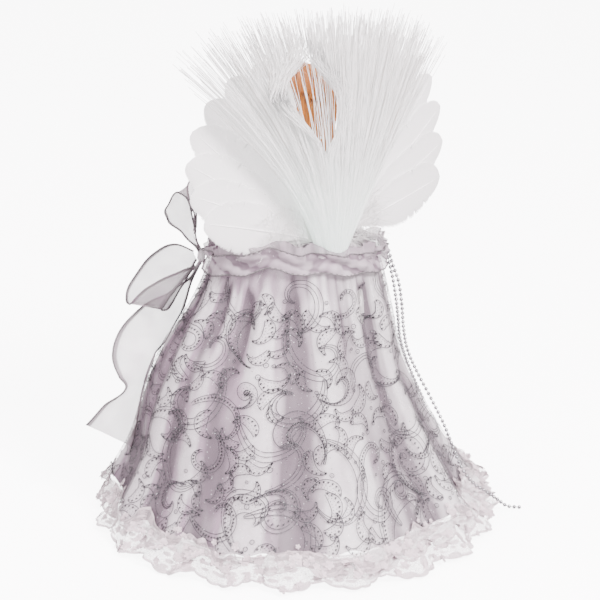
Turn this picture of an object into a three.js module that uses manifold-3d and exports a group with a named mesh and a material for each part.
// Fibre-optic angel tree topper: a dressed figure on a hollow cone, with feather wings, a spray of
// light fibres behind the head, a ribbon bow and bead strings. Millimetres, +Z up, the face looks
// along -Y. The origin is the middle of the cone's foot, on the surface that it stands on.
import * as THREE from "three";
import { mergeVertices } from "three/addons/utils/BufferGeometryUtils.js";
import Module from "manifold-3d";

const wasm = await Module();
wasm.setup();

// Clearances
const fit = 0.3; // between pieces that seat on each other
const ease = 0.6; // between layers of cloth

// Cone that stands on a table or slips over the top of a tree
const coneHeight = 150;
const coneFootRadius = 66;
const coneTopRadius = 45;
const coneWall = 2;
const flangeWidth = 4;
const flangeHeight = 3;
const deckThickness = 3;
const bossRadius = 12; // ring under the deck that carries the leader tube
const bossLength = 14;
const spigotRadius = 9.6; // foot of the torso, in the ring's bore
const spigotLength = 12;

// Tube that grips the leader, the top shoot of the tree
const leaderTubeLength = 80;
const leaderTubeWall = 1.6;
const leaderSlitLength = 42;
const leaderSlitWidth = 2.2;

// Torso and bodice: heights above the deck with the half width there
const torsoOutline = [
  [0, 24],
  [12, 22.5],
  [26, 25],
  [40, 28.5],
  [50, 28],
  [57, 21],
  [61, 11],
];
const torsoHeight = 63;
const torsoFlatness = 0.66; // front-to-back depth over width
const bodiceThickness = 0.8;
const bodiceHeight = 54;
const neckPegRadius = 5.4;
const neckPegLength = 10;

// Head and hair
const headHalf = new THREE.Vector3(18.5, 20, 23.5);
const neckRadius = 7.2;
const neckLength = 4; // bare neck between the torso and the underside of the jaw
const hairThickness = 3.2;
const hairFall = 22; // how far the hair hangs below the middle of the head
const faceHalf = new THREE.Vector3(20, 25, 26); // opening over the face
const faceDrop = 7;

// Arms: the path of the left sleeve, from the shoulder to the wrist, with heights above the deck
const sleevePath = [
  [31, 0, 49],
  [40, -5, 43],
  [41.5, -18, 35],
  [29, -36, 32],
  [14, -46, 37],
];
const sleeveRadius = 9;
const cuffRadius = 12.5;
const clothThickness = 0.8;
const handPath = [
  [12.5, -47.6, 39],
  [6, -53.5, 50],
  [3.2, -56, 63],
];
const thumbPath = [
  [8.2, -50, 46],
  [5.6, -48.6, 52],
  [3.6, -48.2, 56.5],
];
const wristRadius = 3.6;
const palmHalfWidth = 5.2;
const palmHalfThickness = 2.3;

// Gown: shares of its height, from the hem to the top, with how far the middle of the outer skirt
// stands out beyond the cone's top
const gownOutline = [
  [0, 59],
  [0.207, 42.5],
  [0.4, 32],
  [0.579, 22],
  [0.779, 11.3],
  [0.957, 3.5],
  [1.03, 2],
  [1.143, 1],
];
// and with how far it hangs out towards the bow
const gownLean = [
  [0, 4],
  [0.164, 5],
  [0.407, 9],
  [0.579, 8.6],
  [0.707, 5],
  [0.814, 2.3],
  [1, 0.2],
  [1.143, 0],
];
const gownHem = 16;
const gownTop = coneHeight + 6;
const gownBackLift = 13; // the top edge is drawn up behind, over the lamp
const gownBackTurn = 62; // degrees round the figure where it is highest
const gownBackSpread = 52;
// Puffs below the sash and long folds of the skirt: degrees round the figure, half width in degrees,
// share of the gown's height, half height as a share, and how far they stand out
const gownPuffs = [
  [36, 8, 0.757, 0.17, 3.6],
  [-6, 9, 0.786, 0.157, 3.2],
  [72, 13, 0.786, 0.143, 3],
  [120, 8, 0.743, 0.17, 2.4],
  [-60, 12, 0.743, 0.186, 3],
  [198, 14, 0.729, 0.186, 1.6],
  [258, 12, 0.743, 0.186, 3],
  [42, 5.5, 0.329, 0.286, 3.4],
  [84, 5.5, 0.257, 0.257, 3],
  [12, 7, 0.314, 0.286, 2.6],
  [126, 6, 0.243, 0.243, 3],
  [-24, 6, 0.329, 0.257, 2.6],
];
const foldDepthHem = 5.5;
const foldDepthWaist = 0.5;
const foldsMain = 9;
const foldsFine = 14;
const yokeRadius = coneTopRadius - 0.6;
const yokeRise = 13;
const yokeShoulderRadius = 26;
const yokeCollarRadius = 14;

// Lace flounce round the hem
const laceRadius = 115.5;
const laceRuffle = 3;
const laceRuffles = 20;
const laceLift = 0.8; // its lowest edge above the surface
const laceThickness = 0.9;

// Sash and bow of wired ribbon
const ribbonWidth = 24;
const ribbonThickness = 0.8;
const sashDrop = 9; // from the gown's top edge down to the sash's lower edge
const sashRise = 2.5; // and up to its upper edge
const sashRuffle = 1.3;
const sashFlare = 1;
const sashWave = 1.2;
const sashRuffles = 13;
const bowTurn = -34; // degrees round the figure from its left side
const knotHalf = new THREE.Vector3(2.4, 6, 3.6);

// Bead strings
const beadRadius = 1.3;

// Feather wings
const feathersPerWing = 7;
const featherHalfWidth = 15;
const featherTip = 0.76; // share of the length where the tip starts to round
const featherThickness = 0.5;
const featherPitch = 0.9; // from one feather to the next in the stack
const featherDrop = 4; // the lowest feather starts this much lower on the card
const featherBend = 4; // and its tip bends down by this much
const wingSweep = 8; // degrees that the wings lie forward
const wingCup = 0.0016; // forward curl per square millimetre
const wingRootX = 10.5;
const wingRootHeight = 27; // above the deck
const wingCardReach = 22;
const wingCardThickness = 1.5;
const wingCardHeight = 30;
const leftFirstLength = 100; // the uppermost feather
const leftLastLength = 61; // the lowest feather
const leftSwell = 6; // extra length of the middle feathers
const rightFirstLength = 98;
const rightLastLength = 92;
const rightSwell = 13;

// Light fibres and the lamp under them
const lampY = 31.5;
const lampRoom = 13.5; // from its middle to the back of the gown's top
const lampSpread = 30; // degrees round the figure over which the gown is drawn out behind it
const lampTilt = 10; // degrees that the spray leans back
const bundleRadius = 7.8;
const ferruleWall = 1.3;
const ferruleRim = 0.7;
const ferruleAbove = 13; // above the deck
const ferruleBelow = 11;
const holderWall = 1.4;
const holderDepth = 34; // below the deck
const pocketWall = 1.8; // of the cone, where the holder stands out of it
const fibreCount = 300;
const fibreRadius = 0.3;
const fibreLength = 136;
const fanLeft = 91; // reach of the outermost tips to the left
const fanRight = 88;
const fanDroop = 30; // how much lower the outermost tips lie
const fanSkew = 12; // extra height on the left
const fanForward = 16; // how far the outermost tips lie forward
const fanBack = 6; // how far the middle tips lie behind the lamp

// Battery case inside the front of the cone
const cellRadius = 5.25;
const cellLength = 44.5;
const cellCount = 3;
const cellPitch = 11;
const caseWall = 2;
const caseFloor = 1.5;
const caseBottom = 16;
const caseInset = 5.822; // from the cone's outside at the case's top to the face on the cone's pad
const coverThickness = 1.6;
const coverLip = 1.2;
const contactGap = 3.6; // spring length under each cell
const stripThickness = 0.5;
const switchRoom = 3;
const switchTravel = 4;
const tabLength = 8;
const tabThickness = 2.5;
const screwRadius = 1.4;
const leadRadius = 1.2; // lead from the case to the lamp
const leadX = 8;

// Materials
const finish = (color, roughness, metalness = 0) =>
  new THREE.MeshStandardMaterial({ color, roughness, metalness });
const white = finish(0xf2f0ee, 0.5);
const satin = finish(0xe9e3ea, 0.35);
const organza = finish(0xded6df, 0.5);
const lace = finish(0xf3eef0, 0.8);
const ribbonCloth = finish(0xcfc6cc, 0.45);
const silver = finish(0xa9a9ac, 0.3, 0.9);
const featherWhite = finish(0xf1eff0, 0.7);
const fibrePlastic = finish(0xeef3f1, 0.2);
const porcelain = finish(0xf0d2c0, 0.4);
const auburn = finish(0xb4713f, 0.5);
const blackPlastic = finish(0x2a2a2c, 0.5);
const casePlastic = finish(0xdadada, 0.5);
const steel = finish(0xb8b8b8, 0.3, 0.9);
const ledGlass = finish(0xf7f7e6, 0.1);
const boardGreen = finish(0x2f6b45, 0.6);
const cellSleeve = finish(0x6d7078, 0.4);
const card = finish(0xf0eeea, 0.9);

const root = new THREE.Group();
const radians = THREE.MathUtils.degToRad;
const lerp = THREE.MathUtils.lerp;
const smooth = THREE.MathUtils.smoothstep;

// Adds a named piece to a group.
function piece(name, geometry, material, group = root) {
  const mesh = new THREE.Mesh(geometry, material);
  mesh.name = name;
  group.add(mesh);
  return mesh;
}

// A closed triangle mesh with its shared points merged and its faces turned outwards.
function closed(geometry) {
  const bare = new THREE.BufferGeometry();
  bare.setAttribute("position", geometry.getAttribute("position").clone());
  if (geometry.index) bare.setIndex(geometry.index.clone());
  const merged = mergeVertices(bare, 1e-4);
  const points = merged.attributes.position;
  const kept = [];
  let volume = 0;
  const [a, b, c] = [new THREE.Vector3(), new THREE.Vector3(), new THREE.Vector3()];
  for (let i = 0; i < merged.index.count; i += 3) {
    const corner = [0, 1, 2].map((k) => merged.index.getX(i + k));
    if (new Set(corner).size < 3) continue;
    kept.push(...corner);
    a.fromBufferAttribute(points, corner[0]);
    b.fromBufferAttribute(points, corner[1]);
    c.fromBufferAttribute(points, corner[2]);
    volume += a.dot(b.cross(c));
  }
  if (volume < 0)
    for (let i = 0; i < kept.length; i += 3) [kept[i + 1], kept[i + 2]] = [kept[i + 2], kept[i + 1]];
  merged.setIndex(kept);
  return merged;
}

// Solids for joining and cutting, and back again.
function solid(geometry) {
  const mesh = closed(geometry);
  return new wasm.Manifold(
    new wasm.Mesh({
      numProp: 3,
      vertProperties: mesh.attributes.position.array,
      triVerts: new Uint32Array(mesh.index.array),
    }),
  );
}
function geometryOf(body) {
  const mesh = body.getMesh();
  const made = new THREE.BufferGeometry();
  made.setAttribute("position", new THREE.BufferAttribute(mesh.vertProperties, mesh.numProp));
  made.setIndex(new THREE.BufferAttribute(mesh.triVerts, 1));
  return made;
}
const joined = (...parts) => parts.map(solid).reduce((a, b) => a.add(b));
const cut = (body, ...tools) => tools.map(solid).reduce((a, b) => a.subtract(b), body);

// A turned form about Z from [radius, height] points.
function turned(outline, segments = 32) {
  const points = outline.map(([radius, height]) => new THREE.Vector2(radius, height));
  return closed(new THREE.LatheGeometry(points, segments).rotateX(Math.PI / 2));
}
const loop = (outline) => [...outline, outline[0]];

// A block from its lowest to its highest corner.
function block(low, high) {
  const size = high.map((value, i) => value - low[i]);
  return new THREE.BoxGeometry(...size).translate(...low.map((value, i) => value + size[i] / 2));
}

// A round bar along Z.
const bar = (radius, low, high, segments = 24) =>
  new THREE.CylinderGeometry(radius, radius, high - low, segments)
    .rotateX(Math.PI / 2)
    .translate(0, 0, (low + high) / 2);

// A smooth function through [height, value] points.
function curveThrough(points) {
  const spline = new THREE.SplineCurve(points.map(([x, y]) => new THREE.Vector2(x, y)));
  const samples = spline.getPoints(points.length * 12);
  return (x) => {
    let i = 1;
    while (i < samples.length - 1 && samples[i].x < x) i++;
    const [p, q] = [samples[i - 1], samples[i]];
    return lerp(p.y, q.y, THREE.MathUtils.clamp((x - p.x) / (q.x - p.x), 0, 1));
  };
}

// A thin closed sheet: place(u, v, side) gives the point at u across and v along, for the outer
// side 0 and the inner side 1. A ring joins its last column to its first.
function sheet(columns, rows, ring, place) {
  const across = ring ? columns : columns + 1;
  const position = [];
  for (const side of [0, 1])
    for (let row = 0; row <= rows; row++)
      for (let column = 0; column < across; column++)
        position.push(...place(column / columns, row / rows, side));
  const at = (side, row, column) => (side * (rows + 1) + row) * across + (column % across);
  const index = [];
  const quad = (a, b, c, d) => index.push(a, b, c, a, c, d);
  for (let row = 0; row < rows; row++)
    for (let column = 0; column < columns; column++) {
      quad(at(0, row, column), at(0, row, column + 1), at(0, row + 1, column + 1), at(0, row + 1, column));
      quad(at(1, row, column), at(1, row + 1, column), at(1, row + 1, column + 1), at(1, row, column + 1));
    }
  for (let column = 0; column < columns; column++) {
    quad(at(1, 0, column), at(1, 0, column + 1), at(0, 0, column + 1), at(0, 0, column));
    quad(at(0, rows, column), at(0, rows, column + 1), at(1, rows, column + 1), at(1, rows, column));
  }
  if (!ring)
    for (let row = 0; row < rows; row++) {
      quad(at(0, row, 0), at(0, row + 1, 0), at(1, row + 1, 0), at(1, row, 0));
      quad(at(1, row, columns), at(1, row + 1, columns), at(0, row + 1, columns), at(0, row, columns));
    }
  const made = new THREE.BufferGeometry();
  made.setAttribute("position", new THREE.Float32BufferAttribute(position, 3));
  made.setIndex(index);
  return closed(made);
}

// A round form carried along a curve: rings holds [share of the length, half width, half depth], and
// the half width lies along the reference direction.
function carried(curve, rings, sides, reference) {
  const position = [];
  const index = [];
  for (const [share, halfWidth, halfDepth = halfWidth] of rings) {
    const centre = curve.getPointAt(THREE.MathUtils.clamp(share, 0, 1));
    const along = curve.getTangentAt(THREE.MathUtils.clamp(share, 0, 1));
    const wide = reference.clone().addScaledVector(along, -reference.dot(along)).normalize();
    const deep = along.clone().cross(wide);
    for (let k = 0; k < sides; k++) {
      const angle = (2 * Math.PI * k) / sides;
      const point = centre
        .clone()
        .addScaledVector(wide, halfWidth * Math.cos(angle))
        .addScaledVector(deep, halfDepth * Math.sin(angle));
      position.push(...point);
    }
  }
  const last = rings.length - 1;
  for (let ring = 0; ring < last; ring++)
    for (let k = 0; k < sides; k++) {
      const [a, b] = [ring * sides + k, ring * sides + ((k + 1) % sides)];
      index.push(a, b, b + sides, a, b + sides, a + sides);
    }
  for (let k = 1; k < sides - 1; k++) {
    index.push(0, k + 1, k);
    index.push(last * sides, last * sides + k, last * sides + k + 1);
  }
  const made = new THREE.BufferGeometry();
  made.setAttribute("position", new THREE.Float32BufferAttribute(position, 3));
  made.setIndex(index);
  return closed(made);
}
const smoothPath = (points) => new THREE.CatmullRomCurve3(points.map((p) => new THREE.Vector3(...p)));

// Cone, with the deck on top, the ring under it and the pad for the battery case
const coneRadiusAt = (height) => lerp(coneFootRadius, coneTopRadius, height / coneHeight);
const deckUnderside = coneHeight - deckThickness;
const boreRadius = spigotRadius + fit;
const lampAxis = (geometry) => geometry.rotateX(-radians(lampTilt)).translate(0, lampY, coneHeight);
const ferruleRadius = bundleRadius + fit + ferruleWall;
const holderBore = ferruleRadius + fit;
const holderRadius = holderBore + holderWall;

const caseInnerLength = switchRoom + 2 * stripThickness + contactGap + cellLength + 2 * fit;
const caseTop = caseBottom + caseInnerLength + 2 * caseWall;
const caseHalfWidth = (cellCount * cellPitch) / 2 + 0.5 + caseWall;
const caseBack = caseInset - coneRadiusAt(caseTop);
const cavityFloor = caseBack + caseFloor;
const coverBack = cavityFloor + 2 * cellRadius + 0.4;
const caseFront = coverBack + coverThickness + 2 * fit + coverLip;
const padHalfWidth = 7;
const screwHeights = [caseBottom - tabLength / 2, caseTop + tabLength / 2];

function coneShell() {
  const shell = turned(
    loop([
      [boreRadius, coneHeight],
      [coneTopRadius, coneHeight],
      [coneRadiusAt(flangeHeight), flangeHeight],
      [coneFootRadius + flangeWidth, flangeHeight],
      [coneFootRadius + flangeWidth, 0],
      [coneFootRadius - coneWall, 0],
      [coneRadiusAt(deckUnderside) - coneWall, deckUnderside],
      [bossRadius, deckUnderside],
      [bossRadius, deckUnderside - bossLength],
      [boreRadius, deckUnderside - bossLength],
    ]),
    32,
  );
  const within = turned(
    [
      [0, 1],
      [coneRadiusAt(1) - coneWall / 2, 1],
      [coneRadiusAt(deckUnderside) - coneWall / 2, deckUnderside],
      [0, deckUnderside],
    ],
    32,
  );
  const pad = block(
    [-padHalfWidth, -coneFootRadius, caseBottom - tabLength],
    [padHalfWidth, caseBack - fit, caseTop + tabLength],
  );
  const outside = turned(
    [
      [0, 0],
      [coneFootRadius, 0],
      [coneTopRadius, coneHeight],
      [0, coneHeight],
    ],
    32,
  );
  const far = 2 * coneFootRadius;
  const overDeck = block([-far, -far, coneHeight], [far, far, coneHeight + far]);
  const deckAndAbove = block([-far, -far, deckUnderside], [far, far, coneHeight + far]);
  const pocketRadius = holderRadius + fit;
  const pocketBar = (radius) => solid(lampAxis(bar(radius, -holderDepth - fit, holderDepth)));
  const pocket = cut(pocketBar(pocketRadius), deckAndAbove);
  const pocketShell = cut(pocketBar(pocketRadius + pocketWall), outside, overDeck);
  const body = solid(shell).add(solid(pad).intersect(solid(within))).add(pocketShell).subtract(pocket);
  const holes = screwHeights.map((height) =>
    bar(screwRadius + fit, -1, 8, 12).rotateX(Math.PI / 2).translate(0, caseBack, height),
  );
  return geometryOf(cut(body, lampAxis(bar(ferruleRadius + fit, -20, 20)), ...holes));
}
piece("cone_shell", coneShell(), white);

// Leader tube, slit into four springy fingers at its mouth
const leaderBore = bossRadius + fit;
const leaderTop = deckUnderside - fit;
const leaderMouth = leaderTop - leaderTubeLength;
function leaderTube() {
  const outer = leaderBore + leaderTubeWall;
  const tube = turned(
    loop([
      [leaderBore, leaderMouth],
      [outer + 1.2, leaderMouth],
      [outer, leaderMouth + 4],
      [outer, leaderTop],
      [leaderBore, leaderTop],
    ]),
    24,
  );
  const reach = outer + 5;
  const slitTop = leaderMouth + leaderSlitLength;
  const half = leaderSlitWidth / 2;
  return geometryOf(
    cut(
      solid(tube),
      block([-reach, -half, leaderMouth - 1], [reach, half, slitTop]),
      block([-half, -reach, leaderMouth - 1], [half, reach, slitTop]),
    ),
  );
}
piece("leader_tube", leaderTube(), white);

// Torso with its spigot and neck socket, and the bodice sewn round it
const torsoWidthAt = curveThrough(torsoOutline);
const torsoStep = torsoHeight / 9;
function torsoChord(height) {
  const low = Math.floor(height / torsoStep) * torsoStep;
  return lerp(torsoWidthAt(low), torsoWidthAt(low + torsoStep), (height - low) / torsoStep);
}
function torsoForm(grow, low, high) {
  const heights = [low];
  for (let height = 0; height < high; height += torsoStep) if (height > low) heights.push(height);
  heights.push(high);
  const outline = heights.map((height) => [torsoChord(height) + grow, height]);
  return turned([[0, low], ...outline, [0, high]], 20).scale(1, torsoFlatness, 1).translate(0, 0, coneHeight);
}
const torsoTop = coneHeight + torsoHeight;
piece(
  "torso_core",
  geometryOf(
    joined(
      torsoForm(0, 0, torsoHeight),
      bar(spigotRadius, coneHeight - spigotLength, coneHeight + torsoHeight / 2),
    ).subtract(solid(bar(neckPegRadius + fit, torsoTop - neckPegLength - fit, torsoTop + 5))),
  ),
  white,
);
const bodiceGap = fit / torsoFlatness;
const bodiceOuter = bodiceGap + bodiceThickness;
const bodiceBottom = 1;
piece(
  "bodice",
  geometryOf(
    solid(torsoForm(bodiceOuter, bodiceBottom, bodiceHeight)).subtract(
      solid(torsoForm(bodiceGap, bodiceBottom - 2, bodiceHeight + 2)),
    ),
  ),
  satin,
);
const bodiceClear = torsoForm(bodiceOuter + bodiceGap, -3, torsoHeight + 1);

// Head: an ellipsoid with a calm, simple face, on a neck with a peg
const headMiddle = torsoTop + fit + neckLength + headHalf.z * 0.93;
function headForm(columns, rows) {
  const ball = new THREE.SphereGeometry(1, columns, rows).rotateX(Math.PI / 2);
  const points = ball.attributes.position;
  const d = new THREE.Vector3();
  const bump = (across, up, halfAcross, halfUp) =>
    Math.exp(-(((d.x - across) / halfAcross) ** 2) - ((d.z - up) / halfUp) ** 2);
  for (let i = 0; i < points.count; i++) {
    d.fromBufferAttribute(points, i);
    const front = smooth(-d.y, 0, 0.6);
    const jaw = 1 - 0.2 * smooth(-d.z, 0.1, 1) - 0.06 * front * smooth(-d.z, 0.2, 0.9);
    const lift =
      2.6 * bump(0, -0.16, 0.11, 0.13) +
      1.1 * bump(0, 0.05, 0.08, 0.2) -
      1.4 * (bump(0.34, 0.07, 0.19, 0.12) + bump(-0.34, 0.07, 0.19, 0.12)) +
      1.0 * bump(0, -0.5, 0.2, 0.09) +
      1.2 * bump(0, -0.78, 0.24, 0.14) +
      0.8 * (bump(0.42, -0.28, 0.24, 0.2) + bump(-0.42, -0.28, 0.24, 0.2));
    points.setXYZ(
      i,
      d.x * headHalf.x * jaw,
      d.y * headHalf.y - front * lift,
      d.z * headHalf.z,
    );
  }
  return closed(ball.translate(0, 0, headMiddle));
}
piece(
  "head",
  geometryOf(
    joined(
      headForm(20, 14),
      bar(neckRadius, torsoTop + fit, headMiddle - headHalf.z * 0.5, 16),
      bar(neckPegRadius, torsoTop - neckPegLength, torsoTop + fit + 1, 16),
    ),
  ),
  porcelain,
);

// Hair: a cap over the skull and a fall behind the neck, open over the face
function hairForm() {
  const cap = new THREE.SphereGeometry(1, 16, 11)
    .scale(headHalf.x + hairThickness, headHalf.y + hairThickness, headHalf.z + hairThickness)
    .translate(0, 0.6, headMiddle);
  const fall = new THREE.SphereGeometry(1, 14, 9)
    .scale(headHalf.x * 0.98, 8, hairFall * 0.86)
    .translate(0, 12, headMiddle - hairFall * 0.62);
  const face = new THREE.SphereGeometry(1, 14, 10)
    .scale(...faceHalf)
    .translate(0, -headHalf.y - 6, headMiddle - faceDrop);
  const neck = bar(neckRadius + fit, torsoTop - 2, headMiddle - 8, 14);
  const skull = new THREE.SphereGeometry(1, 16, 11)
    .scale(headHalf.x + 1, headHalf.y + 1, headHalf.z + 1)
    .translate(0, 0, headMiddle);
  const far = 2 * headHalf.z;
  const back = block([-far, wingCardFront - fit, coneHeight], [far, far, headMiddle]);
  return geometryOf(cut(joined(cap, fall), skull, face, neck, bodiceClear, back));
}

// Wings: a card on the back, and feathers fanned over it. A wing's points lie on one curled
// surface, given by how far out and how far up they are, so that stacked feathers never cross.
const wingCardFront = (torsoWidthAt(40) + bodiceOuter) * torsoFlatness + fit;
const wingRoot = coneHeight + wingRootHeight;
const stackFront = wingCardFront + wingCardThickness + fit + 0.4;
piece("hair", hairForm(), auburn);
function wingCard() {
  const drop = (wingCardReach - wingRootX) * Math.tan(radians(wingSweep));
  const outline = new THREE.Shape();
  outline.moveTo(-wingCardReach, wingCardFront - drop);
  outline.lineTo(-wingRootX, wingCardFront);
  outline.lineTo(wingRootX, wingCardFront);
  outline.lineTo(wingCardReach, wingCardFront - drop);
  outline.lineTo(wingCardReach, wingCardFront - drop + wingCardThickness);
  outline.lineTo(wingRootX, wingCardFront + wingCardThickness);
  outline.lineTo(-wingRootX, wingCardFront + wingCardThickness);
  outline.lineTo(-wingCardReach, wingCardFront - drop + wingCardThickness);
  return new THREE.ExtrudeGeometry(outline, { depth: wingCardHeight, bevelEnabled: false })
    .translate(0, 0, wingRoot - wingCardHeight * 0.3);
}
piece("wing_card", wingCard(), card);
function wingPoint(side, out, up, away) {
  const sweep = radians(wingSweep);
  const curl = away - wingCup * out * out;
  return [
    side * (wingRootX + out * Math.cos(sweep) + curl * Math.sin(sweep)),
    stackFront - out * Math.sin(sweep) + curl * Math.cos(sweep),
    wingRoot + up,
  ];
}
const featherOutline = (along) => {
  const tip = Math.max(0, (along - featherTip) / (1.01 - featherTip));
  return lerp(0.1, 1, smooth(along, 0.05, 0.55)) * Math.sqrt(1 - tip * tip);
};
const wings = [
  { name: "left", side: 1, angles: [15, 72], first: leftFirstLength, last: leftLastLength, swell: leftSwell },
  { name: "right", side: -1, angles: [17, 81], first: rightFirstLength, last: rightLastLength,
    swell: rightSwell },
];
function feather(wing, layer) {
  const share = layer / (feathersPerWing - 1);
  const angle = radians(lerp(...wing.angles, share));
  const length = lerp(wing.first, wing.last, share ** 1.3) + wing.swell * Math.sin(Math.PI * share);
  const drop = share * featherDrop;
  return sheet(2, 9, false, (across, step, side) => {
    const along = Math.sin((step * Math.PI) / 2);
    const reach = along * length;
    const aside = (2 * across - 1) * featherHalfWidth * featherOutline(along);
    const bend = featherBend * along * along * share;
    const out = Math.sin(angle) * reach + Math.cos(angle) * (aside + bend);
    const up = Math.cos(angle) * reach - Math.sin(angle) * (aside + bend) - drop;
    return wingPoint(wing.side, out, up, layer * featherPitch + (1 - side) * featherThickness);
  });
}
for (const wing of wings)
  for (let layer = 0; layer < feathersPerWing; layer++)
    piece(`${wing.name}_feather_${layer + 1}`, feather(wing, layer), featherWhite);

// Arms: hollow bell sleeves and hands held together
const mirrored = (points, side) => points.map(([x, y, z]) => [side * x, y, coneHeight + z]);
const cuffSeat = 0.8; // share of the sleeve's length where the cuff's hollow ends
const sleeveCurve = (side) => smoothPath(mirrored(sleevePath, side));
function sleeve(side) {
  const form = carried(
    sleeveCurve(side),
    [
      [0, sleeveRadius * 0.7],
      [0.12, sleeveRadius * 0.98],
      [0.3, sleeveRadius * 1.1],
      [0.5, sleeveRadius],
      [0.68, sleeveRadius * 0.92],
      [0.84, cuffRadius * 0.85],
      [1, cuffRadius],
      [0.995, cuffRadius - clothThickness],
      [cuffSeat + 0.07, wristRadius + 2.6],
      [cuffSeat, wristRadius + 2 * fit],
    ],
    12,
    new THREE.Vector3(0, 0, 1),
  );
  return geometryOf(cut(solid(form), bodiceClear));
}
function hand(side) {
  const arm = sleeveCurve(side);
  const seat = cuffSeat + fit / arm.getLength();
  const forearm = [seat, seat + 0.1].map((share) => arm.getPointAt(share).toArray());
  const curve = smoothPath([...forearm, ...mirrored(handPath, side)]);
  const palm = carried(
    curve,
    [
      [0, wristRadius],
      [0.2, wristRadius * 0.9],
      [0.4, wristRadius * 0.8, wristRadius * 0.75],
      [0.55, palmHalfWidth * 0.85, palmHalfThickness],
      [0.7, palmHalfWidth, palmHalfThickness],
      [0.84, palmHalfWidth * 0.9, palmHalfThickness * 0.75],
      [0.95, palmHalfWidth * 0.55, palmHalfThickness * 0.6],
      [1, palmHalfWidth * 0.2, palmHalfThickness * 0.3],
    ],
    10,
    new THREE.Vector3(0, -1, 0.3),
  );
  const thumb = carried(
    smoothPath(mirrored(thumbPath, side)),
    [
      [0, 1.5],
      [0.5, 1.7],
      [0.9, 1.2],
      [1, 0.4],
    ],
    8,
    new THREE.Vector3(0, 0, 1),
  );
  return geometryOf(joined(palm, thumb));
}
for (const { name, side } of wings) {
  piece(`${name}_sleeve`, sleeve(side), organza);
  piece(`${name}_hand`, hand(side), porcelain);
}

// Gown: a satin underskirt and a sheer outer skirt that hang in the same folds
const gownShare = (height) => (height - gownHem) / (gownTop - gownHem);
const outlineAt = curveThrough(gownOutline);
const leanAt = curveThrough(gownLean);
const foldDepthAt = (height) => lerp(foldDepthHem, foldDepthWaist, Math.min(1, gownShare(height)));
const hump = (distance, half) => Math.exp(-((distance / half) ** 2));
const apart = (angle, degrees) =>
  THREE.MathUtils.euclideanModulo(THREE.MathUtils.radToDeg(angle) - degrees + 180, 360) - 180;
const gownTopAt = (angle) => gownTop + gownBackLift * hump(apart(angle, gownBackTurn), gownBackSpread);
const foldAt = (angle) => 0.62 * Math.cos(foldsMain * angle + 0.6) + 0.38 * Math.cos(foldsFine * angle + 2.1);
const gownBack = Math.max(coneTopRadius, lampY + lampRoom); // the cone or the lamp, which reaches further
const gownWaist = (angle) => lerp(coneTopRadius, gownBack, hump(apart(angle, 90), lampSpread));
function gownMiddle(angle, height) {
  const share = gownShare(height);
  return gownWaist(angle) + outlineAt(share) + leanAt(share) * Math.cos(angle - radians(bowTurn));
}
function gownSurface(angle, height) {
  const free = 1 - smooth(gownShare(height), 0.84, 0.95); // the sash holds the puffs in
  let radius = gownMiddle(angle, height) + foldDepthAt(height) * foldAt(angle);
  for (const [turn, wide, share, tall, out] of gownPuffs)
    radius += free * out * hump(apart(angle, turn), wide) * hump(gownShare(height) - share, tall);
  return radius;
}
const polar = (radius, angle, height) => [radius * Math.cos(angle), radius * Math.sin(angle), height];
function skirt(inset) {
  return sheet(60, 5, true, (turn, rise, side) => {
    const angle = 2 * Math.PI * turn;
    const height = lerp(gownTopAt(angle), gownHem, (1 - rise) ** 1.5);
    return polar(gownSurface(angle, height) - inset - side * clothThickness, angle, height);
  });
}
piece("outer_skirt", skirt(0), organza);
piece("underskirt", skirt(clothThickness + ease), satin);

// Yoke that closes the gown over the deck, cut out for the torso and the fibres
const yokeForm = turned(
  loop([
    [yokeRadius, coneHeight],
    [yokeRadius, coneHeight + 3],
    [yokeShoulderRadius, coneHeight + yokeRise],
    [yokeCollarRadius, coneHeight + yokeRise + 1],
    [yokeCollarRadius, coneHeight + yokeRise],
    [yokeShoulderRadius, coneHeight + yokeRise - 1],
    [yokeRadius - 1.2, coneHeight + 2.2],
    [yokeRadius - 1.2, coneHeight],
  ]),
  28,
);
piece(
  "waist_yoke",
  geometryOf(cut(solid(yokeForm), bodiceClear, lampAxis(bar(ferruleRadius + ferruleRim + fit, -5, 30)))),
  satin,
);

// Lace flounce: it hangs from the hem and flares into ruffles
function laceFlounce() {
  return sheet(4 * laceRuffles, 2, true, (turn, down, side) => {
    const angle = 2 * Math.PI * turn;
    const ruffle = Math.cos(laceRuffles * angle);
    const radius = lerp(gownSurface(angle, gownHem) - 0.4, laceRadius + laceRuffle * ruffle, down ** 0.8);
    const height = lerp(gownHem - fit - laceThickness, laceLift + 1.4 * (1 - ruffle) * down, down ** 1.5);
    return polar(radius, angle, height + (1 - side) * laceThickness);
  });
}
piece("lace_flounce", laceFlounce(), lace);

// Sash round the waist, ruffled along its upper edge
function sashSurface(angle, height) {
  const rise = (height - gownTopAt(angle) + sashDrop) / (sashDrop + sashRise);
  const hold = gownMiddle(angle, height) + foldDepthAt(height) + fit + ribbonThickness;
  return hold + sashRuffle * Math.cos(sashRuffles * angle) * rise + sashFlare * rise * rise + ribbonThickness;
}
function sash() {
  return sheet(4 * sashRuffles, 2, true, (turn, rise, side) => {
    const angle = 2 * Math.PI * turn;
    const low = gownTopAt(angle) - sashDrop;
    const height = lerp(low, low + sashDrop + sashRise + sashWave * Math.sin(3 * angle + 1), rise);
    return polar(sashSurface(angle, height) - side * ribbonThickness, angle, height);
  });
}
piece("waist_sash", sash(), ribbonCloth);

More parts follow.
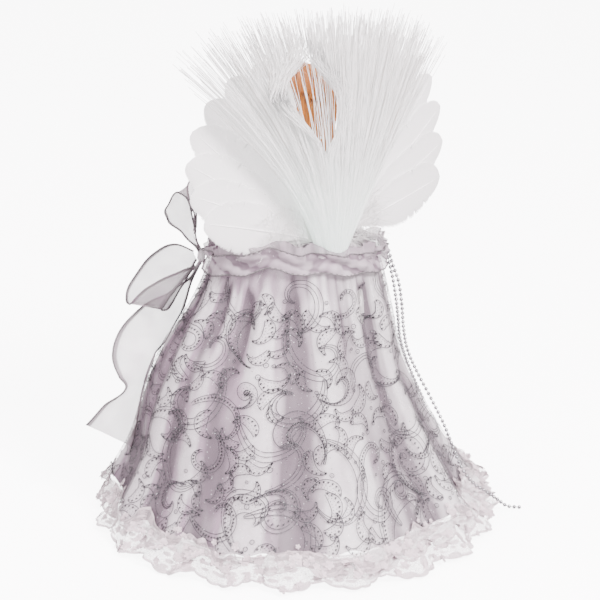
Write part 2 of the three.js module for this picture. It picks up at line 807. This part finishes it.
// Bow on the figure's left hip: two loops and a tail of wired ribbon, in a frame that is turned to
// face it and starts at the knot. Each row gives the middle of the ribbon, the direction of its
// width, and the share of the width that shows there.
const knotHeight = gownTop - 3;
const knotReach = sashSurface(radians(bowTurn), knotHeight) + fit + knotHalf.x;
const bow = new THREE.Group();
bow.position.fromArray(polar(knotReach, radians(bowTurn), knotHeight));
bow.rotation.z = radians(bowTurn);
root.add(bow);
function ribbon(rows, steps) {
  const middle = smoothPath(rows.map((row) => row.slice(0, 3)));
  const widths = smoothPath(rows.map((row) => row.slice(3, 6)));
  const narrow = curveThrough(rows.map((row, i) => [i / (rows.length - 1), row[6]]));
  return sheet(2, steps, false, (across, along, side) => {
    const centre = middle.getPoint(along);
    const wide = widths.getPoint(along).normalize();
    const normal = middle.getTangent(along).cross(wide).normalize();
    const offset = (across - 0.5) * ribbonWidth * narrow(along);
    return centre.addScaledVector(wide, offset).addScaledVector(normal, (0.5 - side) * ribbonThickness);
  });
}
const elbowReach = Math.max(...sleevePath.map(([across]) => across)) + sleeveRadius;
const beside = elbowReach - coneTopRadius; // the upper loop stands clear of the sleeve
const upperLoop = [
  [1.4, 0, knotHalf.z, 0, 1, 0.1, 0.3],
  [beside + 1, 1, 14, 0.3, 1, 0.2, 0.8],
  [beside + 6.5, 1.5, 26, 0.5, 0.9, -0.1, 1],
  [beside + 7.5, 1, 35, 0.5, 0.9, -0.3, 1],
  [beside + 3, -1.5, 40.5, 0.3, 1, 0, 1],
  [beside - 1.5, -3, 35, 0.2, 1, 0, 1],
  [beside - 2.5, -3, 24, 0, 1, 0, 0.9],
  [beside - 2.5, -2, 14, 0, 1, 0, 0.5],
];
const lowerLoop = [
  [3.4, 1, 0.5, 0.2, 0.6, 0.8, 0.35],
  [10, 6, 1, 0.4, 0.3, 0.9, 0.85],
  [19, 8, -5, 0.6, 0.1, 0.8, 1],
  [27, 8, -15, 0.7, 0.1, 0.7, 1],
  [32.5, 5, -25.5, 0.8, 0.3, 0.5, 1],
  [32, 0.5, -31, 0.8, 0.4, 0.3, 0.9],
  [24, -2, -25, 0.6, 0.2, 0.7, 0.75],
  [14, -1, -15, 0.5, 0.4, 0.7, 0.45],
  [4.6, 0, -6.4, 0.2, 1, 0.2, 0.3],
];
const tail = [
  [0, 0, -knotHalf.z - fit, 0, 1, 0.1, 0.25],
  [5, -6, -14, 0.1, 1, 0.2, 0.35],
  [15, -12, -27, 0.4, 0.8, 0.5, 0.6],
  [27, -12, -39, 0.6, 0.5, 0.6, 0.9],
  [36, -5, -49, 0.85, 0.3, 0.4, 1],
  [40, 2, -60, 0.95, 0.2, 0.1, 1],
  [40.5, 5, -70, 0.9, 0.3, -0.1, 0.65],
  [41, 6, -78.5, 0.9, 0.3, 0.1, 0.3],
  [49, 8, -91, 0.85, 0.2, 0.4, 0.7],
  [56, 10, -106, 0.85, 0.1, 0.5, 1.1],
];
piece("bow_upper_loop", ribbon(upperLoop, 22), ribbonCloth, bow);
piece("bow_lower_loop", ribbon(lowerLoop, 26), ribbonCloth, bow);
piece("bow_tail", ribbon(tail, 26), ribbonCloth, bow);
piece("bow_knot", closed(new THREE.SphereGeometry(1, 12, 8).scale(...knotHalf)), ribbonCloth, bow);

// Bead strings: they hang from the sash on the figure's right and lie on the gown. Each row gives
// the turn in degrees from the figure's right side, the share of the gown's top height, and the gap
// to the gown.
const gownOutside = (angle, height) =>
  height > gownHem
    ? gownMiddle(angle, height) + foldDepthAt(height)
    : lerp(laceRadius + laceRuffle, gownMiddle(angle, gownHem) + foldDepthHem, (height - laceLift) / gownHem);
const beadCorners = 8;
const beadSection = new THREE.Shape();
for (let i = 0; i < beadCorners; i++) {
  const turn = (2 * Math.PI * i) / beadCorners;
  beadSection[i ? "lineTo" : "moveTo"](beadRadius * Math.cos(turn), beadRadius * Math.sin(turn));
}
function beadString(rows) {
  const curve = smoothPath(
    rows.map(([turn, share, gap], row) => {
      const angle = Math.PI + radians(bowTurn + turn);
      const height = share * gownTop;
      const seat = sashSurface(angle, height) + fit + beadRadius;
      return polar(row ? gownOutside(angle, height) + gap : seat, angle, height);
    }),
  );
  const steps = Math.round(curve.getLength() / (5 * beadRadius));
  return closed(new THREE.ExtrudeGeometry(beadSection, { steps, extrudePath: curve, bevelEnabled: false }));
}
const longString = [
  [-3, 1.006, 0],
  [-3, 0.955, 5.6],
  [-2, 0.885, 6.4],
  [0, 0.795, 5],
  [4, 0.692, 3.4],
  [9, 0.59, 2.4],
  [11, 0.487, 2.4],
  [8, 0.397, 2.4],
  [0, 0.321, 2.4],
  [-9, 0.256, 2.4],
  [-13, 0.199, 2.4],
  [-12, 0.141, 2.6],
  [-9, 0.09, 4.5],
  [-7, 0.051, 5.5],
  [-6, 0.0205, 7],
  [-5, 0.0103, 13],
];
const shortString = [
  [3, 1.006, 0],
  [4, 0.955, 3.8],
  [6, 0.885, 3.6],
  [9, 0.795, 2.8],
  [14, 0.705, 2.6],
  [20, 0.615, 2.4],
  [25, 0.513, 2.4],
  [28, 0.41, 2.4],
  [30, 0.308, 2.4],
];
piece("bead_string_long", beadString(longString), silver);
piece("bead_string_short", beadString(shortString), silver);

// Light fibres: straight strands from a potted root that spread into a fan behind the head
const lamp = new THREE.Group();
lamp.position.set(0, lampY, coneHeight);
lamp.rotation.x = -radians(lampTilt);
root.add(lamp);
const rootTop = ferruleAbove;
function fibreSpray() {
  const position = [];
  const index = [];
  const goldenAngle = Math.PI * (3 - Math.sqrt(5));
  const spread = bundleRadius - fibreRadius - 0.2;
  for (let i = 0; i < fibreCount; i++) {
    const radius = spread * Math.sqrt((i + 0.5) / fibreCount);
    const x = radius * Math.cos(i * goldenAngle);
    const y = radius * Math.sin(i * goldenAngle);
    const across = x / spread;
    const reach = across > 0 ? fanLeft : fanRight;
    const outward = Math.abs(across);
    const length = fibreLength * (0.95 + 0.05 * Math.sin(i * 2.7));
    const tip = new THREE.Vector3(
      across * reach,
      y * 1.3 - length * Math.sin(radians(lampTilt)) - fanForward * outward ** 2 + fanBack,
      rootTop + length - fanDroop * outward ** 2 + fanSkew * across,
    );
    const foot = new THREE.Vector3(x, y, rootTop - 1);
    for (const end of [foot, tip])
      for (let k = 0; k < 3; k++) {
        const turn = (2 * Math.PI * k) / 3 + i;
        position.push(end.x + fibreRadius * Math.cos(turn), end.y + fibreRadius * Math.sin(turn), end.z);
      }
    const at = 6 * i;
    for (let k = 0; k < 3; k++) {
      const [a, b] = [at + k, at + ((k + 1) % 3)];
      index.push(a, b, b + 3, a, b + 3, a + 3);
    }
    index.push(at, at + 2, at + 1, at + 3, at + 4, at + 5);
  }
  const strands = new THREE.BufferGeometry();
  strands.setAttribute("position", new THREE.Float32BufferAttribute(position, 3));
  strands.setIndex(index);
  return geometryOf(joined(bar(bundleRadius, -ferruleBelow, rootTop), strands));
}
piece("fibre_spray", fibreSpray(), fibrePlastic, lamp);

// Ferrule round the root of the fibres
const ferruleBore = bundleRadius + fit;
piece(
  "fibre_ferrule",
  turned(
    loop([
      [ferruleBore, -ferruleBelow],
      [ferruleRadius, -ferruleBelow],
      [ferruleRadius, ferruleAbove - 2.5],
      [ferruleRadius + ferruleRim, ferruleAbove - 1.5],
      [ferruleRadius + ferruleRim, ferruleAbove - 0.5],
      [ferruleBore, ferruleAbove - 0.5],
    ]),
    24,
  ),
  steel,
  lamp,
);

// Lamp holder under the deck, with the light-emitting diode on its board
const boardTop = -ferruleBelow - 12;
function lampHolder() {
  const ledge = holderBore - 1.2;
  const cup = turned(
    [
      [0, -holderDepth],
      [holderRadius - 3, -holderDepth],
      [holderRadius, -holderDepth + 4],
      [holderRadius, 4],
      [holderBore, 4],
      [holderBore, boardTop - 1.6],
      [ledge, boardTop - 1.6],
      [ledge, -holderDepth + 3],
      [0, -holderDepth + 3],
    ],
    24,
  );
  const wireHole = bar(leadRadius + fit, -holderDepth - 2, -holderDepth + 5, 10);
  const above = block([-40, -40, 0], [40, 40, 40])
    .rotateX(radians(lampTilt))
    .translate(0, 0, -deckThickness - fit);
  return geometryOf(cut(solid(cup), wireHole, above));
}
piece("lamp_holder", lampHolder(), blackPlastic, lamp);
piece("led_board", bar(holderBore - fit, boardTop - 1.6 + 0.05, boardTop, 24), boardGreen, lamp);
piece(
  "led_lamp",
  turned(
    [
      [0, boardTop],
      [4.4, boardTop],
      [4.4, boardTop + 1.6],
      [3.6, boardTop + 1.6],
      [3.6, boardTop + 5],
      [2.6, boardTop + 7.4],
      [0, boardTop + 8.4],
    ],
    16,
  ),
  ledGlass,
  lamp,
);

// Battery case: a tray screwed to the cone's pad, with grooves for the sliding cover
const caseCavityTop = caseTop - caseWall;
const coverHalfWidth = caseHalfWidth - caseWall + coverLip;
const knobX = -switchTravel / 2;
const knobY = (cavityFloor + coverBack) / 2;
const slotHalfWidth = 1.5;
const slotHalfDepth = 1.3;
function batteryCase() {
  const shell = block([-caseHalfWidth, caseBack, caseBottom], [caseHalfWidth, caseFront, caseTop]);
  const tabs = screwHeights.map((height) =>
    block(
      [-padHalfWidth + 1, caseBack, height - tabLength / 2],
      [padHalfWidth - 1, caseBack + tabThickness, height + tabLength / 2],
    ),
  );
  const inner = caseHalfWidth - caseWall;
  const cavity = block(
    [-inner, cavityFloor, caseBottom + caseWall],
    [inner, caseFront + 1, caseCavityTop],
  );
  const groove = block(
    [-coverHalfWidth - fit, coverBack, caseBottom - 1],
    [coverHalfWidth + fit, coverBack + coverThickness + 2 * fit, caseCavityTop],
  );
  const mouth = block([-inner, coverBack, caseBottom - 1], [inner, caseFront + 1, caseCavityTop]);
  const slot = block(
    [knobX - slotHalfWidth - fit, knobY - slotHalfDepth - fit, caseBottom - 1],
    [knobX + slotHalfWidth + switchTravel + fit, knobY + slotHalfDepth + fit, caseBottom + caseWall + 1],
  );
  const holes = screwHeights.map((height) =>
    bar(screwRadius + fit, -8, 8, 12).rotateX(Math.PI / 2).translate(0, caseBack, height),
  );
  const leadHole = bar(leadRadius + fit, caseTop - 6, caseTop + 2, 10).translate(leadX, knobY, 0);
  return geometryOf(cut(joined(shell, ...tabs), cavity, groove, mouth, slot, leadHole, ...holes));
}
piece("battery_case", batteryCase(), casePlastic);

// Cover that slides down out of the grooves, with thumb ridges
const ridgeCount = 4;
const coverFront = coverBack + fit + coverThickness;
const ridges = Array.from({ length: ridgeCount }, (unused, i) => {
  const height = caseBottom + 5 + 3 * i;
  return block([-8, coverFront - 0.2, height], [8, coverFront + 0.8, height + 1.4]);
});
piece(
  "battery_cover",
  geometryOf(
    joined(
      block(
        [-coverHalfWidth, coverBack + fit, caseBottom + fit],
        [coverHalfWidth, coverFront, caseCavityTop - fit],
      ),
      ...ridges,
    ),
  ),
  casePlastic,
);

// Cells, and the sprung contact strips at their ends
const lowerStrip = caseBottom + caseWall + switchRoom;
const cellBottom = lowerStrip + stripThickness + contactGap;
const cellX = (i) => (i - (cellCount - 1) / 2) * cellPitch;
const cellY = cavityFloor + cellRadius + 0.2;
const stripHalf = caseHalfWidth - caseWall - fit;
for (let i = 0; i < cellCount; i++) {
  const outline = [
    [0, cellBottom],
    [cellRadius, cellBottom],
    [cellRadius, cellBottom + cellLength - 1],
    [1.9, cellBottom + cellLength - 1],
    [1.9, cellBottom + cellLength],
    [0, cellBottom + cellLength],
  ];
  piece(`battery_cell_${i + 1}`, turned(outline, 14).translate(cellX(i), cellY, 0), cellSleeve);
}
const strip = (low) =>
  block([-stripHalf, cavityFloor + 1, low], [stripHalf, coverBack - 1, low + stripThickness]);
const springs = Array.from({ length: cellCount }, (unused, i) =>
  turned(
    [
      [0, lowerStrip + 0.1],
      [4, lowerStrip + 0.1],
      [2.4, cellBottom - 0.1],
      [0, cellBottom - 0.1],
    ],
    12,
  ).translate(cellX(i), cellY, 0),
);
piece("lower_contact", geometryOf(joined(strip(lowerStrip), ...springs)), steel);
piece("upper_contact", strip(cellBottom + cellLength + 0.1), steel);

// Slide switch through the bottom of the case
const sliderLow = caseBottom + caseWall + fit;
piece(
  "switch_slider",
  geometryOf(
    joined(
      block([knobX - 3.4, knobY - 2.6, sliderLow], [knobX + 3.4, knobY + 2.6, sliderLow + 1.4]),
      block(
        [knobX - slotHalfWidth, knobY - slotHalfDepth, caseBottom - 3],
        [knobX + slotHalfWidth, knobY + slotHalfDepth, sliderLow + 1],
      ),
    ),
  ),
  blackPlastic,
);

export default root;
